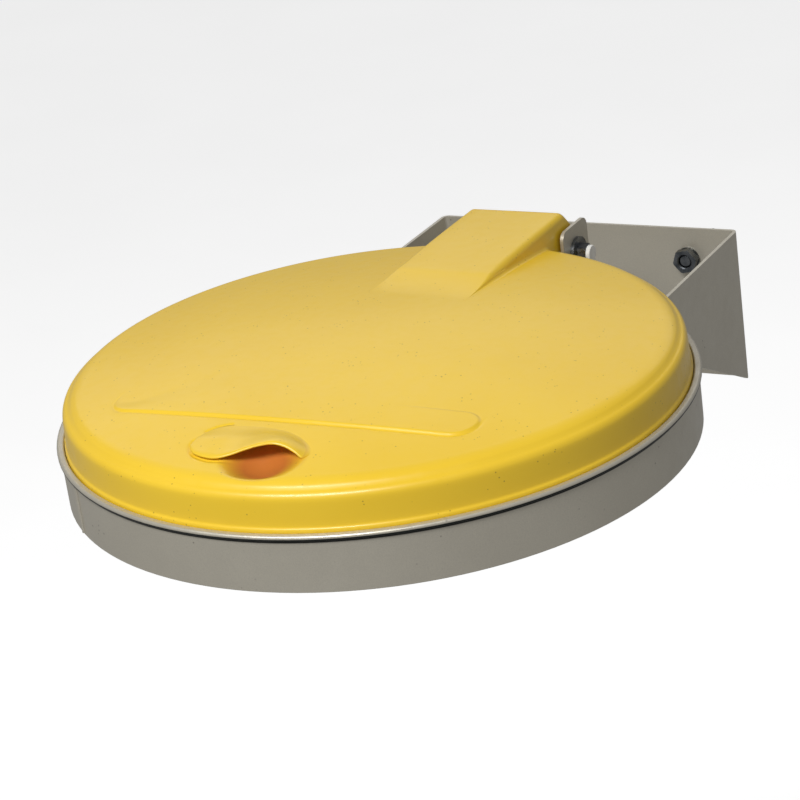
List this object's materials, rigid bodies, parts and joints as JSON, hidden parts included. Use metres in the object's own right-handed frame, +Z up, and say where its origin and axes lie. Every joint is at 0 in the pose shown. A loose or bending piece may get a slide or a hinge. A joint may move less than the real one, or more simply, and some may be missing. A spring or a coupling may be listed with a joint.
{
  "type": "wall-mounted waste sack holder",
  "caption": "Wall-mounted waste sack holder: folded steel bracket, round steel ring with a drop-in clamping hoop, and a hinged moulded lid with a finger grip.",
  "frame": {"origin": "centre of the wall bracket's back face, on the wall", "axes": "+Z up, +Y into the wall, the ring and lid face -Y"},
  "size_m": [0.43, 0.605, 0.169],
  "materials": {
    "painted_steel": "satin",
    "zinc_steel": "satin",
    "lid_plastic": "gloss",
    "nylon": "satin",
    "rubber": "matte"
  },
  "bodies": {
    "holder": {"wall_bracket": "painted_steel", "ring_band": "painted_steel", "seam_weld": "painted_steel", "bracket_welds": "painted_steel", "hinge_bracket": "painted_steel", "hinge_welds": "painted_steel", "wall_studs": "zinc_steel", "anchor_clips": "zinc_steel", "wall_washers": "zinc_steel", "wall_nuts": "zinc_steel", "hinge_bolt": "zinc_steel", "hinge_washers": "zinc_steel", "hinge_nut": "zinc_steel", "bolt_cap": "nylon"},
    "lid": {"lid_shell": "lid_plastic", "lid_grip": "lid_plastic", "hinge_sleeve": "zinc_steel", "hinge_bushes": "nylon"},
    "hoop": {"sack_hoop": "painted_steel", "grip_strip": "rubber"}
  },
  "joints": [
    {"name": "lid_hinge", "type": "hinge", "parent": "holder", "child": "lid", "pos_m": [0, -0.108, 0.0775], "axis": [-1, 0, 0], "range_deg": [0, 100]},
    {"name": "hoop_lift", "type": "slide", "parent": "holder", "child": "hoop", "axis": [0, 0, 1], "range_m": [0, 0.012]}
  ]
}
